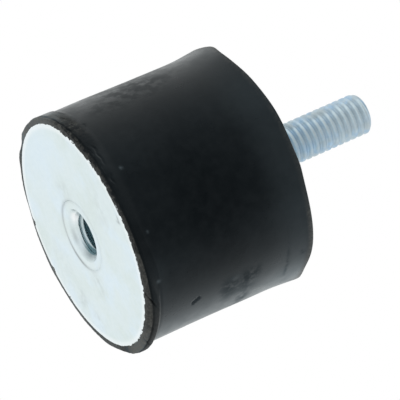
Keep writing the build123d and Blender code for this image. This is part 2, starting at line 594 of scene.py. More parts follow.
def clouds_group():
    """Shared effect: two tints drift over a colour in clouds."""
    if "Drifting Clouds" in bpy.data.node_groups:
        return bpy.data.node_groups["Drifting Clouds"]
    group, given, made = new_group(
        "Drifting Clouds",
        {
            "Vector": "Vector",
            "Colour": "Color",
            "First Tint": "Color",
            "Second Tint": "Color",
            "Scale": "Float",
        },
        {"Colour": "Color"},
    )
    vector, scale = given["Vector"], given["Scale"]
    shifted = add_node(group, "ShaderNodeVectorMath", {0: vector, 1: (0.3, 0.7, 0.2)}, operation="ADD")
    first = add_node(group, "ShaderNodeTexNoise", {"Vector": vector, "Scale": scale, "Detail": 3.0})
    second = add_node(
        group, "ShaderNodeTexNoise", {"Vector": shifted.outputs[0], "Scale": scale, "Detail": 4.0}
    )
    first_share = ramp(group, first.outputs[0], 0.42, 0.66)
    second_share = ramp(group, second.outputs[0], 0.45, 0.70)
    tinted = mix_colours(group, first_share, given["Colour"], given["First Tint"])
    tinted = mix_colours(group, second_share, tinted, given["Second Tint"])
    group.links.new(tinted, made["Colour"])
    return group


def grain_group():
    """Shared effect: fine grain as a bumped normal."""
    if "Fine Grain" in bpy.data.node_groups:
        return bpy.data.node_groups["Fine Grain"]
    group, given, made = new_group(
        "Fine Grain",
        {"Vector": "Vector", "Scale": "Float", "Depth": "Float", "Strength": "Float"},
        {"Normal": "Vector"},
    )
    grain = add_node(
        group, "ShaderNodeTexNoise", {"Vector": given["Vector"], "Scale": given["Scale"], "Detail": 4.0}
    )
    bump = add_node(
        group,
        "ShaderNodeBump",
        {"Height": grain.outputs[0], "Distance": given["Depth"], "Strength": given["Strength"]},
    )
    group.links.new(bump.outputs[0], made["Normal"])
    return group


def use_group(tree, group, values):
    """Places a shared effect in a material."""
    return add_node(tree, "ShaderNodeGroup", values, node_tree=group).outputs


def new_material(name):
    """An empty material with its Principled shader, and the Object coordinates."""
    material = bpy.data.materials.new(name)
    material.use_nodes = True
    tree = material.node_tree
    shader = tree.nodes["Principled BSDF"]
    vector = add_node(tree, "ShaderNodeTexCoord").outputs["Object"]
    return material, tree, shader, vector


def mask(tree, name):
    """A value painted on the mesh."""
    return add_node(tree, "ShaderNodeAttribute", attribute_name=name).outputs["Fac"]


def rubber_material(s):
    """Moulded black rubber. Trimmed parts are brownish grey and rough, the rest dark with a soft sheen,
    with powder in patches, a few pale specks and paler areas, partly wear and partly painted sheen."""
    material, tree, shader, vector = new_material("moulded rubber")
    trim = mask(tree, "trim")
    cut = mask(tree, "cut")
    mottle = noise(tree, vector, 2.4 * MM, 4.0, 0.6)
    fine = noise(tree, vector, 0.5 * MM, 3.0, 0.6)
    patchy = times(tree, mask(tree, "scuff"), ramp(tree, mottle, 0.36, 0.56, 0.2, 1.1))
    side = mix_colours(tree, ramp(tree, mottle, 0.3, 0.8, 0.0, 0.12), rgba(s.black), rgba(s.dust))
    dark_cut = rgba([c * 0.5 for c in s.trimmed])
    pale_cut = rgba([c * 1.9 for c in s.trimmed])
    knifed = mix_colours(tree, ramp(tree, fine, 0.36, 0.64), dark_cut, rgba(s.trimmed))
    flakes = ramp(tree, noise(tree, vector, 1.3 * MM, 4.0, 0.65), 0.42, 0.58)
    whole = rest_of(tree, times(tree, mask(tree, "torn"), rest_of(tree, flakes)))
    broken = times(tree, trim, whole)
    finished = mix_colours(tree, broken, side, knifed)
    # Paler where the pale mask says: wear and specks, painted sheen, and a painted highlight on the knife's
    # edge.
    bleached = mix_colours(tree, broken, rgba(s.worn), pale_cut)
    finished = mix_colours(tree, mask(tree, "pale"), finished, bleached)
    broad = noise(tree, vector, 7 * MM, 2.0)
    uneven = plus(tree, ramp(tree, mottle, 0.3, 0.7, -0.03, 0.04), ramp(tree, broad, 0.3, 0.7, -0.04, 0.04))
    rough = plus(tree, ramp(tree, cut, 0.0, 1.0, 0.32, 0.88), uneven)
    rough = plus(tree, rough, times(tree, patchy, 0.46))
    grain = use_group(
        tree, grain_group(), {"Vector": vector, "Scale": 1 / (0.35 * MM), "Depth": 0.02 * MM, "Strength": 0.5}
    )
    torn_height = times(tree, cut, noise(tree, vector, 0.45 * MM, 5.0, 0.65))
    bump = add_node(
        tree,
        "ShaderNodeBump",
        {"Height": torn_height, "Distance": 0.10 * MM, "Strength": 0.8, "Normal": grain["Normal"]},
    )
    finish = {"Base Color": finished, "Roughness": rough, "Normal": bump.outputs[0]}
    set_inputs(tree, shader.inputs, finish)
    shader.inputs["Specular IOR Level"].default_value = 0.5
    shader.inputs["Specular Tint"].default_value = (0.12, 0.15, 0.17, 1.0)
    return material


def zinc_material(name, s, base, first, second, stain, cloud_size, roughness, speckle=0.0):
    """Zinc plate: a pale metal with drifting clouds and specks. Where the mesh is painted it has a tinted
    haze that on the stud is a painted reflection, painted highlights, darker marks and painted shade, soft
    smudges that on the stud are painted shade, painted shade in the bore and a ragged film of rubber."""
    material, tree, shader, vector = new_material(name)
    clouds = use_group(tree, clouds_group(), {
        "Vector": vector,
        "Colour": rgba(base),
        "First Tint": rgba(first),
        "Second Tint": rgba(second),
        "Scale": 1 / cloud_size,
    })
    scuffs = noise(tree, vector, 1.2 * MM, 4.0, 0.6)
    specks = ramp(tree, noise(tree, vector, 0.8 * MM, 3.0, 0.6), 0.45, 0.65, 0.0, speckle)
    smears = ramp(tree, noise(tree, vector, 2.6 * MM, 2.0), 0.36, 0.66)
    ragged = ramp(tree, noise(tree, vector, 1.6 * MM, 4.0, 0.7), 0.36, 0.64, 0.2, 2.0)
    covered = ramp(tree, times(tree, mask(tree, "film"), ragged), 0.46, 0.56)
    deep = mask(tree, "deep")
    # Haze, on the stud a painted reflection; painted highlight; marks, smudges and painted shade; film.
    layers = (
        (mask(tree, "mist"), first),
        (mask(tree, "bright"), [min(1, c * 1.35) for c in base]),
        (specks, [c * 0.55 for c in base]),
        (mask(tree, "mark"), stain),
        (times(tree, mask(tree, "smudge"), smears), [c * 0.62 for c in base]),
        (deep, s.bore),
        (covered, s.film),
    )
    plate = clouds["Colour"]
    for share, tint in layers:
        plate = mix_colours(tree, share, plate, rgba(tint))
    rough = ramp(tree, scuffs, 0.3, 0.7, roughness - 0.06, roughness + 0.08)
    grain = use_group(
        tree, grain_group(), {"Vector": vector, "Scale": 1 / (0.3 * MM), "Depth": 0.01 * MM, "Strength": 0.3}
    )
    bare = rest_of(tree, covered)
    # Less metallic in the bore's painted shade, and not metal where rubber covers the plate.
    set_inputs(tree, shader.inputs, {
        "Base Color": plate,
        "Roughness": plus(tree, rough, times(tree, covered, 0.45)),
        "Normal": grain["Normal"],
        "Metallic": times(tree, ramp(tree, deep, 0.0, 1.0, 1.0, 0.7), bare),
    })
    return material


def disc_material(s):
    """Finish of both discs and the bush, made once."""
    name = "clear zinc"
    made = bpy.data.materials.get(name)
    return made or zinc_material(name, s, s.clear, s.bluish, s.greenish, s.stain, 9 * MM, 0.36)


def lip_levels(s, angle):
    """How low the lip is (0 to 1), and the levels of its crease and of its cut line, at each bearing."""
    slow = ring_noise(angle, s.seed, 2, 14, 0.8)
    low_lip = between(angle, -225, -100, 70)
    crease = s.crease_level + s.crease_climb * low_lip + 0.08 * MM * slow
    groove = s.groove_level * (1 - 0.45 * bell_at(angle, -98, 0.5)) + 0.08 * MM * slow
    groove = groove + 0.3 * MM * between(angle, -50, 6, 16) - 0.5 * MM * bell_at(angle, -5, 0.2)
    return low_lip, crease, groove


def knife_lean(angle):
    """How far the knife leaned when it trimmed the lip, 0 to 1, at each bearing."""
    return between(angle, 8, 162, 14) * (0.35 + 0.65 * between(angle, 60, 162, 50))


def rim_rise(s, angle):
    """How far the far rim stands above its disc, or below, at each bearing."""
    return s.rim_lift * ring_bells(angle, RIM_RISES)


def crack_at(s, angle, level, place, width):
    """A thin line across the lip, 1 in its middle, that starts at place and leans as it climbs."""
    return hump(turned_by(angle, place + 2 * level / s.body_radius), 0, width)


def flash_rows(s, z, angle, disc_radius):
    """The thin edge of rubber that lies on the rounded edge of the disc and ends in a ragged line on it.
    How far it creeps in is a share of the flash plus quick waves, and its height follows the rounding."""
    torn = ring_noise(angle, s.seed + 4, 16, 150, 0.3)
    creep = s.flash * (0.55 + 0.9 * torn)
    creep = creep + 0.30 * MM * hump(turned_by(angle, s.nick_bearing), 0, 0.012)
    creep = np.clip(creep, 0.01 * MM, z.disc_edge * 1.6)
    share = np.array([0.0, 0.35, 0.7, 1.0])[:, None]
    radius = disc_radius - share * creep[None, :]
    over = np.clip((radius - (disc_radius - z.disc_edge)) / z.disc_edge, 0, 1)
    return radius, z.disc_edge * (1 - np.sqrt(1 - over ** 2))


def face_edge(s, angle, slow, ragged):
    """Radius at which the trimmed corner of the lip meets the face."""
    radius = s.body_radius + s.lip_proud - s.corner_cut - s.corner_more * knife_lean(angle)
    radius = radius + s.wave * 0.7 * slow + s.rag * 0.6 * ragged
    radius = radius + 0.55 * MM * bell_at(angle, LOWEST, 0.2) + 0.2 * MM * between(angle, 8, 172, 10)
    return radius + MM * ring_bells(angle, FACE_EDGE_BUMPS)


def cut_lines(s, angle, height, groove):
    """Depth, as a share, of the cut line above the trimmed corner, of a second line that comes and goes
    above it on the torn side, and of a short one near the face."""
    wander = ring_noise(angle, s.seed + 5, 8, 60, 0.6)
    patches = ring_noise(angle, s.seed + 6, 12, 90, 0.4)
    torn_side = between(angle, -215, -100, 20)
    broad_line = (0.2 + 0.13 * between(angle, -56, 0, 10)) * MM
    line = hump(height, groove + 0.45 * MM * wander * torn_side, broad_line) * (1 - knife_lean(angle))
    line = line * (1 - torn_side * (1 - smooth(0.45 + 1.1 * patches)))
    second = hump(height, groove + (1.3 + 0.4 * patches) * MM, 0.28 * MM) * smooth(0.2 + wander) * torn_side
    short = between(angle, -166, -147, 5) * bell(height, 0.5, 0.2)
    return line + 0.8 * second + 0.9 * short


def lip_and_body(s, angle, height, edge, slow, broad, ragged):
    """Radius of the rubber's side before the flare: the body plus the lip, less its crease, cut lines,
    trimmed corner and cracks. Waves round the ring, from slow to ragged, move the lip and the body."""
    low_lip, crease, groove = lip_levels(s, angle)
    leaned = knife_lean(angle)
    blended = between(angle, -158, -56, 30)
    on_lip = 1 - smooth((height - crease) / (s.lip_fall * (1 + 3 * blended)) + 1)
    wider = 0.33 * MM * bell_at(angle, LOWEST, 0.2) * fall(height, 2.2, 1.2)
    radius = s.body_radius + (s.lip_proud - s.lip_loss * low_lip + s.wave * slow + wider) * on_lip
    radius = radius - s.crease_depth * hump(height, crease + 0.1 * MM, 0.35 * MM) * (1 - blended)
    cut_depth = s.groove_depth * (0.75 + 0.25 * ragged) * (1 + 0.3 * between(angle, -34, 0, 8))
    radius = radius - cut_depth * cut_lines(s, angle, height, groove)
    corner_top = s.corner_height + np.maximum(groove - s.groove_level, 0) + MM * leaned
    corner = np.clip(1 - height / corner_top, 0, 1) ** (1.5 - 0.5 * leaned)
    radius = radius - corner * (radius - edge)
    radius = radius + s.rag * ragged * on_lip * (0.4 + 0.6 * bell(height, 0.6, 0.6))
    cracks = 0.5 * crack_at(s, angle, height, s.step_bearing, 0.014)
    cracks = cracks + 0.3 * crack_at(s, angle, height, CRACK_BEARING, 0.012)
    radius = radius - MM * cracks * fall(height, 1.4, 0.5)
    return radius + 0.05 * MM * broad * rise(height, 0, 4) * fall(height, 38, 5)


def flare_out(s, angle, height, flare_top):
    """How far the side stands out beyond the body: faint bulges, a flare that grows as the square of the
    height above its foot, and the rounded edge, a quarter of a circle, that is sharper where it is lowest."""
    out = 0.12 * MM * bell_at(angle, HIGHEST, 0.25) * bell(height, 12, 8)
    out = out + s.bulge * bell_at(angle, -6, 0.9) * bell(height, 32, 10)
    out = out + 0.18 * MM * bell_at(angle, LOWEST, 0.3) * bell(height, 40, 5)
    out = out - 0.1 * MM * bell_at(angle, HIGHEST, 0.3) * rise(height, 40, 3)
    flare = np.clip((height - (flare_top - s.flare_length)) / s.flare_length, 0, 1)
    out = out + (FLARE_RADIUS - s.body_radius) * flare ** 2
    over_edge = np.clip((height - flare_top) / s.edge_radius, 0, 1)
    sharper = 1 - 0.6 * bell_at(angle, LOWEST, 0.25)
    return out - s.edge_radius * sharper * (1 - np.sqrt(1 - over_edge ** 2))


def pit_at(s, angle, height):
    """Depth of the pit, which falls off with the distance from a short leaning line."""
    up = height - s.pit_height
    across = turned_by(angle, s.pit_bearing) * s.body_radius
    lengthways = up * math.cos(s.pit_lean) - across * math.sin(s.pit_lean)
    sideways = up * math.sin(s.pit_lean) + across * math.cos(s.pit_lean)
    half = (s.pit_length - s.pit_width) / 2
    away = np.hypot(np.maximum(np.abs(lengthways) - half, 0), sideways)
    return s.pit_depth * (1 - smooth((away - 0.25 * s.pit_width) / (0.4 * s.pit_width)))


def lower_pocket(z, angle, disc_radius):
    """Rows of the pocket round the bush and its disc, from the axis out to the disc's edge."""
    inner, chamfer = z.disc_inner_rounding, z.bush_chamfer
    corners = [
        (0, BUSH_BACK),
        (BUSH_CORNER - chamfer, BUSH_BACK),
        (BUSH_CORNER, BUSH_BACK - chamfer),
        (BUSH_CORNER, DISC_THICKNESS),
        (disc_radius - inner, DISC_THICKNESS),
    ]
    outline = np.concatenate([
        legs(corners, (3, 1, 4, 4)),
        bend((disc_radius - inner, DISC_THICKNESS - inner), inner, 90, 0, 4),
        straight((disc_radius, DISC_THICKNESS - inner), (disc_radius, z.disc_edge), 1 * MM),
    ])
    radius, height = carry(outline, angle.size)
    return hexed(radius, BUSH_CORNER, angle, radius <= BUSH_CORNER + MERGE_DISTANCE), height


def upper_pocket(z, angle, disc_radius, top_radius):
    """Rows of the rim's top and of the pocket round the other disc and the screw's head, in to the axis."""
    inner = z.disc_inner_rounding
    rim = [(top_radius, BODY_LENGTH), (disc_radius, BODY_LENGTH), (disc_radius, STUD_DISC_LEVEL + inner)]
    corners = [
        (disc_radius - inner, STUD_DISC_LEVEL),
        (HEAD_CORNER, STUD_DISC_LEVEL),
        (HEAD_CORNER, HEAD_LEVEL + z.head_chamfer),
        (HEAD_FLAT, HEAD_LEVEL),
        (0, HEAD_LEVEL),
    ]
    outline = np.concatenate([
        legs(rim, (0.25, 1)),
        bend((disc_radius - inner, STUD_DISC_LEVEL + inner), inner, 0, -90, 4),
        legs(corners, (4, 3, 1, 3), to_end=True),
    ])
    radius, height = carry(outline, angle.size)
    return hexed(radius, HEAD_CORNER, angle, radius <= HEAD_CORNER + MERGE_DISTANCE), height


def rubber_mesh(s, z):
    """Rubber with all its pockets. The outline starts behind the bush, runs out along the pocket of the
    tapped disc to the face, up the side and back in along the other disc to the head of the screw."""
    angle = ring_angles(COLUMNS)
    slow = ring_noise(angle, s.seed + 1, 2, 14, 0.8)
    broad = ring_noise(angle, s.seed + 2, 2, 6, 0.5)
    ragged = ring_noise(angle, s.seed + 3, 30, 170, 0.5)
    disc_radius = DISC_RADIUS + z.rim_spread
    flash_radius, flash_height = flash_rows(s, z, angle, disc_radius)
    edge = face_edge(s, angle, slow, ragged)
    # The narrow ring of rubber on the face lies between the end of the flash and the trimmed corner.
    share = np.array([0.12, 0.3, 0.5, 0.7, 0.85])[:, None]
    face_radius = flash_radius[-1:] * (1 - share) + edge[None, :] * share

    flare_top = BODY_LENGTH - s.edge_radius
    flare_foot = SIDE_ROWS[-1][1] * MM
    rows = [np.linspace(low * MM, high * MM, count, endpoint=False) for low, high, count in SIDE_ROWS]
    rows.append(np.linspace(flare_foot, flare_top, 16, endpoint=False))
    rows.append(flare_top + s.edge_radius * np.sin(np.linspace(0, math.pi / 2, 8, endpoint=False)))
    height = np.repeat(np.concatenate(rows)[:, None], angle.size, axis=1)
    radius = lip_and_body(s, angle, height, edge, slow, broad, ragged)
    radius = radius + flare_out(s, angle, height, flare_top) - pit_at(s, angle, height)

    # Round the ring the far rim stands a little above its disc in some places and below in others.
    top_radius = FLARE_RADIUS - s.edge_radius
    upper_radius, upper_height = upper_pocket(z, angle, disc_radius, top_radius)
    risen = rim_rise(s, angle)
    height = height + risen * rise(height, 36, 7)
    upper_height = upper_height + risen * smooth((upper_radius - disc_radius) / (top_radius - disc_radius))
    mesh = turned_mesh(
        "moulded_rubber",
        angle,
        lower_pocket(z, angle, disc_radius),
        (flash_radius, flash_height),
        (face_radius, np.zeros_like(face_radius)),
        (radius, height),
        (upper_radius, upper_height),
    )

    def on_skin(rule):
        """The rule on the outer skin, and 0 in the pockets."""
        skin = disc_radius - z.disc_edge * 2
        return lambda reach, level, around: rule(s, level, around) * (reach > skin)

    paint(
        mesh,
        trim=on_skin(trim_rule),
        torn=on_skin(torn_rule),
        cut=on_skin(cut_rule),
        pale=on_skin(pale_rule),
        scuff=on_skin(scuff_rule),
    )
    return mesh


def trim_rule(s, level, around):
    """Where the knife's brownish cut shows: on the trimmed corner, in a band above it on two sides, less the
    cracks, where painted shade takes it away, and on the turned edge of the far rim."""
    step = math.degrees(s.step_bearing)
    low = fall(level - lip_levels(s, around)[2], -0.35, 0.25)
    band = rise(level, 0.8, 0.3) * fall(level, 3.0, 1.5)
    leaning = around - 1.6 * level / s.body_radius
    clean_cut = between(leaning, step, 4, 2)
    top_cut = between(around, -204, -140, 20)
    strength = clean_cut * (0.95 * low + 0.2 * band) + top_cut * (0.9 * low + 0.7 * band)
    # Painted shade: less of the cut's colour in the cracks.
    cracked = crack_at(s, around, level, s.step_bearing, 0.014)
    cracked = cracked + 0.6 * crack_at(s, around, level, CRACK_BEARING, 0.012)
    strength = strength * (1 - 0.8 * cracked * (level > 0.25 * MM))
    first_cut = between(leaning, -73.5, step, 2) * low * 0.8
    rim = between(around, 8, 156, 4) * low * 0.7
    rest = between(around, -150, -73.5, 14) * low * 0.6
    turned = 0.25 + 0.35 * between(around, -60, 0, 10) + 0.35 * between(around, -182, -150, 10)
    turned = turned * rise(level - rim_rise(s, around), 41.7, 0.8)
    return np.clip(strength + first_cut + rim + rest + turned, 0, 1)


def torn_rule(s, level, around):
    """How much of the cut surface has flaked away at each bearing."""
    softer = 0.4 * between(around, -186, -150, 14)
    return 0.35 + 0.55 * between(around, -215, -90, 20) - softer


def cut_rule(s, level, around):
    """How rough the surface is: on the trimmed corner, in torn bands above it and on the far rim."""
    low = fall(level - lip_levels(s, around)[2], 0.1, 0.5)
    low = low * (1 - 0.4 * between(around, -215, -135, 25))
    band_top = 2.2 * MM + 1.4 * MM * bell_at(around, -60, 0.22)
    band = 0.55 * between(around, -85, 25, 20) * fall(level - band_top, 0, 0.7)
    band = band + 0.6 * between(around, -166, -122, 16) * fall(level, 2.8, 2.8)
    band = band + 0.5 * between(around, -106, -62, 16) * fall(level, 2.5, 2.5)
    far_rim = 0.35 * rise(level - rim_rise(s, around), 41.9, 0.8)
    return np.maximum(low, band) + far_rim


def side_spots(s, level, around, places):
    """Sum of soft spots on the rubber's side, as the tables at the top give them."""
    return sum(
        strength * spot(around, level, degrees, at, wide * MM / s.body_radius, high)
        for degrees, at, wide, high, strength in places
    )


def pale_rule(s, level, around):
    """How much paler the rubber is: broad lighter areas on its sides, painted sheen on its lowest side and
    flare, wear and painted sheen on the lip's highest side, the knife's edges on the face with a painted
    highlight near the lowest side, and specks.
    """
    halfway = bell(level, 20, 9)
    upper = rise(level, 31, 10) * (0.10 - 0.06 * between(around, -190, -130, 30))
    # Painted sheen along the lowest side.
    side = 0.42 * bell_at(around, -14, 0.33) * fall(level, 41, 1) * rise(level, 2.6, 1)
    near = 0.02 * between(around, -100, -60, 14)
    near = near + between(around, -66, -38, 14) * (0.03 + 0.03 * bell(level, 4.2, 1.4))
    near = near * (1 - 0.9 * halfway)
    middle = 0.05 * bell_at(around, -116, 0.32) * (1 - 0.5 * halfway)
    # Painted sheen on the flare of the lowest side.
    lower = 0.12 * between(around, -26, 6, 14) * rise(level, 28, 8)
    ring = 0.45 * between(around, 14, 166, 10) + 0.4 * between(around, 50, 130, 25)
    ring = ring * fall(level, 0.3, 0.5)
    # The knife's edge on the face, with a painted highlight near the lowest side.
    knife = 0.3 * between(around, -30, 8, 16) + 0.35 * bell_at(around, -8, 0.22)
    knife = knife * fall(level, 0.4, 0.9)
    # Wear and painted sheen on the lip's highest side.
    worn_top = 0.5 * between(around, -204, -158, 14) * fall(level, 2.5, 1.5)
    total = upper + side + near + ring + lower + knife + worn_top + middle
    return np.clip(total + side_spots(s, level, around, PALE_SPECKS), 0, 1)


def scuff_rule(s, level, around):
    """Where powder lies on the side: in patches, and along a line below the far rim."""
    line = between(around, -55, -22, 8) * bell(level, 36.8, 0.5) * 0.6
    return np.clip(line + side_spots(s, level, around, SCUFFS), 0, 1)


def disc_outline(z, hole, upwards):
    """Outline of a disc with a hole, closed. Its outer face is at height 0, or at the top if upwards."""
    inner, outer, seam = z.disc_inner_rounding, z.disc_edge, z.seam
    rim = DISC_RADIUS + z.rim_spread
    fine_from = rim - 1.5 * MM
    inside = [(rim - inner, DISC_THICKNESS), (hole, DISC_THICKNESS), (hole, seam), (hole + seam, 0)]
    outline = np.concatenate([
        legs([(hole + seam, 0), (fine_from, 0), (rim - outer, 0)], (0.3, 0.1)),
        bend((rim - outer, outer), outer, -90, 0, 6),
        straight((rim, outer), (rim, DISC_THICKNESS - inner), 1 * MM),
        bend((rim - inner, DISC_THICKNESS - inner), inner, 0, 90, 4),
        legs(inside, (4, 1, 1), to_end=True),
    ])
    if upwards:
        outline = outline[::-1] * (1, -1) + (0, BODY_LENGTH)
    return outline


def seam_grime(around):
    """How much darker the pressed seam is at each bearing."""
    return 0.12 + 0.75 * bell_at(around, 60, 0.55) + 0.38 * bell_at(around, 140, 0.9)


def face_spots(reach, around, places):
    """Sum of soft spots on a face, each given by x, y, a length, a width, a lean and a strength, in
    millimetres and degrees. A spot is a bell along its length times one across it."""
    x, y = reach * np.cos(around), reach * np.sin(around)
    total = np.zeros_like(x)
    for place_x, place_y, long, wide, lean, strength in places:
        away_x, away_y = x - place_x * MM, y - place_y * MM
        turned_x, turned_y = math.cos(math.radians(lean)), math.sin(math.radians(lean))
        along = away_x * turned_x + away_y * turned_y
        across = away_y * turned_x - away_x * turned_y
        total = total + strength * bell(along, 0, long) * bell(across, 0, wide)
    return total


def disc_mesh(name, z, hole, upwards, marks, smudges):
    """A punched disc: its outline carried round the axis. Marks are bruises in the plating and smudges are
    stains on it, as face_spots takes them. The haze is a bluish cloud, the film is rubber smeared over the
    rim, and a painted highlight makes the plating lighter near the rim."""
    angle = ring_angles(COLUMNS)
    mesh = turned_mesh(name, angle, carry(disc_outline(z, hole, upwards), angle.size))
    face = BODY_LENGTH if upwards else 0.0
    rim = DISC_RADIUS + z.rim_spread

    def on_face(level):
        return np.abs(level - face) < z.seam * 1.5

    def mark_rule(reach, level, around):
        seam = hump(reach, hole, 0.5 * MM) * seam_grime(around)
        return np.clip(face_spots(reach, around, marks) + seam, 0, 1) * on_face(level)

    def smudge_rule(reach, level, around):
        return np.clip(face_spots(reach, around, smudges), 0, 1) * on_face(level)

    def mist_rule(reach, level, around):
        return np.clip(face_spots(reach, around, FACE_MIST), 0, 1)

    def film_rule(reach, level, around):
        half = 0.14 + 0.26 * between(around, -150, -85, 18) + 0.10 * between(around, -85, 5, 20)
        for degrees, tooth, spread in FILM_TEETH:
            half = half + tooth * bell_at(around, degrees, spread)
        width = 2 * half * MM
        share = np.clip((reach - (rim - width)) / width, 0, 1)
        return share * (np.abs(level - face) < DISC_THICKNESS / 2)

    def bright_rule(reach, level, around):
        # Painted highlight: the plating lighter near the rim.
        return 0.5 * rise(reach - DISC_RADIUS, -1.6, 1.2)

    paint(mesh, mark=mark_rule, smudge=smudge_rule, mist=mist_rule, film=film_rule, bright=bright_rule)
    return mesh


def bush_mesh(z):
    """Tapped bush. The outline runs from the drill's point down the bore, out over the mouth and the face,
    up the neck and round the hexagon. In the bore the radius is that of the thread cut outwards from
    tapping size, or of the countersink where that is wider. Its seam is darker; the cone has marks,
    painted shade on its lower end and a painted highlight; and painted shade grows down the bore."""
    angle = ring_angles(THREAD_COLUMNS)
    mouth, neck, seam, chamfer = z.mouth_radius, z.neck_radius, z.seam, z.bush_chamfer
    start = mouth - DRILL_RADIUS - 0.9 * MM
    drill_point = straight((0, z.drill_tip), (DRILL_RADIUS, z.tapped_depth), 1 * MM)
    bore_height = thread_rows(angle, start, z.tapped_depth, z.bore_pitch)[::-1]
    turned = angle + z.bore_start * TURN
    cut = 1 - thread_wave(bore_height - start, turned, z.bore_pitch, BORE_FLATS)
    runout = fall(bore_height - z.tapped_depth, -1.2, 1.0)
    bore_radius = DRILL_RADIUS + (STUD_RADIUS - DRILL_RADIUS) * cut * runout
    bore_radius = np.maximum(bore_radius, mouth - bore_height)
    worn_edge = seam * 0.6
    corners = [
        (mouth - start, start),
        (mouth - worn_edge, worn_edge),
        (mouth + seam, 0),
        (neck - seam, 0),
        (neck, seam),
        (neck, DISC_THICKNESS),
        (BUSH_CORNER, DISC_THICKNESS),
        (BUSH_CORNER, BUSH_BACK - chamfer),
        (BUSH_CORNER - chamfer, BUSH_BACK),
        (0, BUSH_BACK),
    ]
    outline = legs(corners, (0.3, 0.1, 0.3, 1, 1, 4, 4, 1, 3), to_end=True)
    radius, height = carry(outline, angle.size)
    on_hexagon = (height >= DISC_THICKNESS - MERGE_DISTANCE) & (radius > neck)
    mesh = turned_mesh(
        "tapped_bush",
        angle,
        carry(drill_point, angle.size),
        (bore_radius, bore_height),
        (hexed(radius, BUSH_CORNER, angle, on_hexagon), height),
    )

    def mark_rule(reach, level, around):
        grime = hump(reach, neck, 0.5 * MM) * (level < seam * 1.5) * seam_grime(around)
        # Painted shade: the cone darker further in, with marks and the shade on its lower end from the table.
        cone = 0.10 * rise(level, 0.1, 0.4)
        for degrees, at, wide, high, strength in CONE_MARKS:
            cone = cone + strength * spot(around, level, degrees, at, wide, high)
        return np.clip(grime + cone * (reach < mouth) * (level < 2.4 * MM), 0, 1)

    def bright_rule(reach, level, around):
        # Painted highlight on the cone.
        shine = 1.6 * spot(around, level, 152, 1.3, 0.35, 0.6)
        return np.clip(shine * (reach < mouth), 0, 1)

    def deep_rule(reach, level, around):
        # Painted shade in the bore: in the thread's grooves, growing down the hole, on one side and on the
        # cone's end.
        worn_away = (0.06 + 0.3 * bell_at(around, 25, 0.7) + 0.12 * bell_at(around, 172, 0.3)) * MM
        off_cone = rise(reach + level - mouth + worn_away, 0.02, 0.2)
        sunk = rise(reach - STUD_RADIUS + worn_away, -0.35, 0.3) * off_cone
        groove = 0.5 - 0.15 * rise(level, 2.3, 0.5) + 0.28 * hump(turned_by(around, 0.4), 0, 0.6)
        depth = 0.34 * rise(level, 1.6, 0.6) + rise(level, 2.9, 1.4)
        hidden = 0.2 * bell_at(around, 26, 0.35) * rise(level, 2.0, 0.5)
        in_bore = reach < STUD_RADIUS + 0.3 * MM
        shade = 0.35 * spot(around, level, 30, 1.3, 0.5, 0.9) * (reach < mouth)
        return np.clip((groove * sunk + depth + hidden) * in_bore + shade, 0, 1)

    paint(mesh, mark=mark_rule, bright=bright_rule, deep=deep_rule)
    return mesh


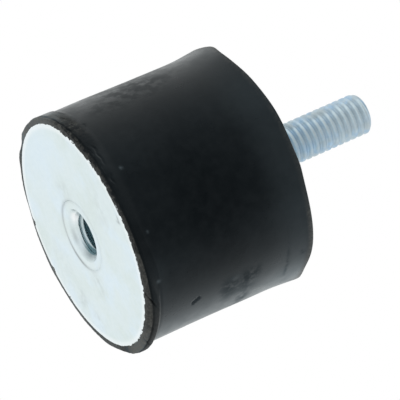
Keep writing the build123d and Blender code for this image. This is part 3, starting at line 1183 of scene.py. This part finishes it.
def screw_mesh(z):
    """Screw with hexagon head, collar and threaded stud. The stud's radius is the thread's, or that of the
    chamfer cone at the tip where that is narrower, and it fills out to the full radius at the disc. It has
    painted shade in its grooves and on its sides, a darker seam round the collar, a blue painted
    reflection on its front and painted highlights on its crests and front."""
    angle = ring_angles(THREAD_COLUMNS)
    root, collar, seam = z.stud_root, z.collar_radius, z.seam
    depth = STUD_RADIUS - root
    tip = root - 0.1 * MM
    corners = [
        (0, HEAD_LEVEL),
        (HEAD_FLAT, HEAD_LEVEL),
        (HEAD_CORNER, HEAD_LEVEL + z.head_chamfer),
        (HEAD_CORNER, STUD_DISC_LEVEL),
        (collar, STUD_DISC_LEVEL),
        (collar, BODY_LENGTH - seam),
        (collar - seam, BODY_LENGTH),
        (STUD_RADIUS, BODY_LENGTH),
    ]
    base_radius, base_height = carry(legs(corners, (3, 0.5, 4, 2, 1, 1, 1)), angle.size)
    on_head = (base_radius > collar) & (base_height < BODY_LENGTH - DISC_THICKNESS + MERGE_DISTANCE)
    height = thread_rows(angle, BODY_LENGTH, STUD_TIP, z.stud_pitch)
    radius = root + depth * thread_wave(height - BODY_LENGTH, angle, z.stud_pitch, STUD_FLATS)
    radius = radius + (STUD_RADIUS - radius) * fall(height - BODY_LENGTH, 0, 1.2)
    mesh = turned_mesh(
        "stud_screw",
        angle,
        (hexed(base_radius, HEAD_CORNER, angle, on_head), base_height),
        (np.minimum(radius, tip + STUD_TIP - height), height),
        carry(legs([(tip, STUD_TIP), (0, STUD_TIP)], (1,), to_end=True), angle.size),
    )

    def mark_rule(reach, level, around):
        # Painted shade in the grooves and along the sides, more near the disc, and a darker seam round the
        # collar.
        on_stud = level > BODY_LENGTH + 0.2 * MM
        groove = 1 - smooth((reach - root) / (depth * 0.8))
        grime = 0.8 * hump(reach, collar, seam * 1.5) * (level > BODY_LENGTH - seam * 1.5)
        worn = fall(level, 46, 20)
        flank = 0.05 * between(around, -150, -66, 20) + 0.12 * between(around, -66, 0, 20) + 0.16 * worn
        return np.clip((groove * (0.10 + 0.34 * worn) + flank) * on_stud + grime, 0, 1)

    def smudge_rule(reach, level, around):
        # Painted shade towards the highest side, and less on a lower one.
        upper = 0.65 * between(around, -176, -128, 16) * (1 - 0.5 * rise(level, 60, 12))
        return (upper + 0.3 * between(around, -60, -20, 16)) * (level > BODY_LENGTH + 0.2 * MM)

    def mist_rule(reach, level, around):
        # Painted reflection: a blue tint on the front, fading towards the tip.
        return 0.9 * between(around, -135, -60, 24) * (1 - 0.7 * rise(level, 56, 12))

    def bright_rule(reach, level, around):
        # Painted highlights on the crests and on the front.
        crest = smooth((reach - root - depth * 0.55) / (depth * 0.4)) * (level > BODY_LENGTH + 1 * MM)
        front = 0.55 * bell_at(around, -84, 0.3)
        return np.clip(crest * bell_at(around, -112, 0.45) + front, 0, 1)

    paint(mesh, mark=mark_rule, smudge=smudge_rule, mist=mist_rule, bright=bright_rule)
    return mesh


class MESH_OT_buffer_rubber(bpy.types.Operator):
    """Build the moulded rubber with its lip, crease, flare and pit"""

    bl_idname = "mesh.buffer_rubber"
    bl_label = "Moulded Rubber"
    bl_options = {"REGISTER", "UNDO"}

    def execute(self, context):
        scene = context.scene
        mesh = rubber_mesh(scene.buffer_rubber, scene.buffer_zinc)
        add_piece(context, mesh, rubber_material(scene.buffer_rubber), "rubber_body")
        return {"FINISHED"}


class MESH_OT_buffer_discs(bpy.types.Operator):
    """Build both punched discs"""

    bl_idname = "mesh.buffer_discs"
    bl_label = "Discs"
    bl_options = {"REGISTER", "UNDO"}

    def execute(self, context):
        zinc = context.scene.buffer_zinc
        finish = disc_material(zinc)
        tapped = disc_mesh("tapped_disc", zinc, zinc.neck_radius, False, TAPPED_BRUISES, TAPPED_SMUDGES)
        add_piece(context, tapped, finish, "tapped_plate")
        far = disc_mesh("stud_disc", zinc, zinc.collar_radius, True, STUD_BRUISES, STUD_SMUDGES)
        add_piece(context, far, finish, "stud_plate")
        return {"FINISHED"}


class MESH_OT_buffer_bush(bpy.types.Operator):
    """Build the bush with its countersunk and tapped hole"""

    bl_idname = "mesh.buffer_bush"
    bl_label = "Tapped Bush"
    bl_options = {"REGISTER", "UNDO"}

    def execute(self, context):
        zinc = context.scene.buffer_zinc
        add_piece(context, bush_mesh(zinc), disc_material(zinc), "threaded_bush")
        return {"FINISHED"}


class MESH_OT_buffer_screw(bpy.types.Operator):
    """Build the screw whose shank is the stud"""

    bl_idname = "mesh.buffer_screw"
    bl_label = "Stud"
    bl_options = {"REGISTER", "UNDO"}

    def execute(self, context):
        zinc = context.scene.buffer_zinc
        colours = (zinc.stud, zinc.stud_blue, zinc.stud_warm, zinc.stud_stain)
        finish = zinc_material("blue zinc", zinc, *colours, 3.5 * MM, 0.42, 0.10)
        add_piece(context, screw_mesh(zinc), finish, "threaded_stud")
        return {"FINISHED"}


def floor_material(s):
    """Pale floor that shows only to the camera and only from above, and fades out far from the buffer."""
    material, tree, shader, vector = new_material("pale floor")
    shader.inputs["Base Color"].default_value = rgba(s.floor_colour)
    shader.inputs["Roughness"].default_value = 0.9
    shader.inputs["Specular IOR Level"].default_value = 0.1
    away = add_node(tree, "ShaderNodeVectorMath", {0: vector}, operation="LENGTH").outputs["Value"]
    near = ramp(tree, away, s.floor_fade, s.floor_radius, 1.0, 0.0)
    camera = add_node(tree, "ShaderNodeLightPath").outputs["Is Camera Ray"]
    back = add_node(tree, "ShaderNodeNewGeometry").outputs["Backfacing"]
    shown = times(tree, times(tree, camera, rest_of(tree, back)), near)
    clear = add_node(tree, "ShaderNodeBsdfTransparent")
    mixed = add_node(tree, "ShaderNodeMixShader", {0: shown})
    tree.links.new(clear.outputs[0], mixed.inputs[1])
    tree.links.new(shader.outputs[0], mixed.inputs[2])
    tree.links.new(mixed.outputs[0], tree.nodes["Material Output"].inputs["Surface"])
    return material


def add_floor(context, s):
    """Round floor: rings that get smaller towards the middle, just under the buffer."""
    angle = ring_angles(FLOOR_COLUMNS)
    outline = [(share * s.floor_radius, FLOOR_LEVEL) for share in FLOOR_RINGS]
    mesh = turned_mesh("floor", angle, carry(outline, angle.size))
    floor = bpy.data.objects.new("floor", mesh)
    mesh.materials.append(floor_material(s))
    context.scene.collection.objects.link(floor)


def add_world(context, s):
    """White to the camera and in reflections, softer on the camera's side, and plainer as light."""
    world = bpy.data.worlds.new("studio")
    context.scene.world = world
    world.use_nodes = True
    tree = world.node_tree
    path = add_node(tree, "ShaderNodeLightPath").outputs
    glossy = path["Is Glossy Ray"]
    direction = add_node(tree, "ShaderNodeTexCoord").outputs["Generated"]
    facing = add_node(tree, "ShaderNodeVectorMath", {0: direction, 1: SOFT_SIDE}, operation="DOT_PRODUCT")
    soft = ramp(tree, facing.outputs["Value"], 0.35, 0.95, 1.0, s.camera_side)
    seen = larger(tree, path["Is Camera Ray"], path["Is Transmission Ray"])
    shown = larger(tree, seen, times(tree, glossy, soft))
    plain = times(tree, rest_of(tree, larger(tree, seen, glossy)), s.ambient)
    tint = mix_colours(tree, glossy, rgba(WHITE), rgba(COOL_WHITE))
    set_inputs(tree, tree.nodes["Background"].inputs, {"Strength": plus(tree, shown, plain), "Color": tint})


def add_lamp(context, name, towards, size, level):
    """Square lamp that faces the buffer's middle and gives a white surface the stated brightness."""
    light = bpy.data.lights.new(name, "AREA")
    light.size = size
    light.energy = level * (math.pi * LAMP_DISTANCE) ** 2
    lamp = bpy.data.objects.new(name, light)
    way = Vector(towards).normalized()
    lamp.location = way * LAMP_DISTANCE + Vector((0, 0, BODY_LENGTH / 2))
    lamp.rotation_euler = way.to_track_quat("Z", "Y").to_euler()
    lamp.visible_camera = False
    lamp.visible_glossy = False
    context.scene.collection.objects.link(lamp)


def add_camera(context, s):
    """Camera below the tapped face, rolled so that the axis rises to the right of the picture."""
    data = bpy.data.cameras.new("camera")
    data.lens = s.lens
    data.sensor_width = 36
    data.clip_start = 0.01
    data.clip_end = 10
    place = Vector((0, -s.distance, -s.drop))
    ahead = (Vector((s.aim_x, s.aim_y, s.aim_z)) - place).normalized()
    level = ahead.cross(Vector((0, 0, 1))).normalized()
    upright = level.cross(ahead)
    right = level * math.cos(s.roll) + upright * math.sin(s.roll)
    up = right.cross(-ahead) * -1
    camera = bpy.data.objects.new("camera", data)
    turn = Matrix((right, up, -ahead)).transposed()
    camera.matrix_world = Matrix.Translation(place) @ turn.to_4x4()
    context.scene.collection.objects.link(camera)
    context.scene.camera = camera


class SCENE_OT_buffer_stage(bpy.types.Operator):
    """Build the floor, the lamps, the world and the camera"""

    bl_idname = "scene.buffer_stage"
    bl_label = "Studio"
    bl_options = {"REGISTER", "UNDO"}

    def execute(self, context):
        s = context.scene.buffer_stage
        context.scene.view_settings.view_transform = "Standard"
        add_camera(context, s)
        add_world(context, s)
        for name, towards, size, share in LAMPS:
            add_lamp(context, name, towards, size, s.lamp_level * share)
        add_floor(context, s)
        return {"FINISHED"}


STEPS = (
    SCENE_OT_buffer_stage,
    MESH_OT_buffer_rubber,
    MESH_OT_buffer_discs,
    MESH_OT_buffer_bush,
    MESH_OT_buffer_screw,
)


class VIEW3D_PT_buffer(bpy.types.Panel):
    """Lists the steps that build the buffer, and its settings"""

    bl_label = "Rubber Buffer"
    bl_space_type = "VIEW_3D"
    bl_region_type = "UI"
    bl_category = "Buffer"

    def draw(self, context):
        for step in STEPS:
            self.layout.operator(step.bl_idname)
        for settings in (context.scene.buffer_rubber, context.scene.buffer_zinc, context.scene.buffer_stage):
            box = self.layout.box()
            for name in settings.__annotations__:
                box.prop(settings, name)


CLASSES = (RubberSettings, ZincSettings, StageSettings, *STEPS, VIEW3D_PT_buffer)


def register():
    """Make the settings, steps and panel known to Blender."""
    for cls in CLASSES:
        bpy.utils.register_class(cls)
    bpy.types.Scene.buffer_rubber = bpy.props.PointerProperty(type=RubberSettings)
    bpy.types.Scene.buffer_zinc = bpy.props.PointerProperty(type=ZincSettings)
    bpy.types.Scene.buffer_stage = bpy.props.PointerProperty(type=StageSettings)


def unregister():
    """Take them out again."""
    del bpy.types.Scene.buffer_stage
    del bpy.types.Scene.buffer_zinc
    del bpy.types.Scene.buffer_rubber
    for cls in reversed(CLASSES):
        bpy.utils.unregister_class(cls)


def main():
    """Build the studio and all pieces."""
    register()
    bpy.ops.scene.buffer_stage()
    bpy.ops.mesh.buffer_rubber()
    bpy.ops.mesh.buffer_discs()
    bpy.ops.mesh.buffer_bush()
    bpy.ops.mesh.buffer_screw()


if __name__ == "__main__":
    main()
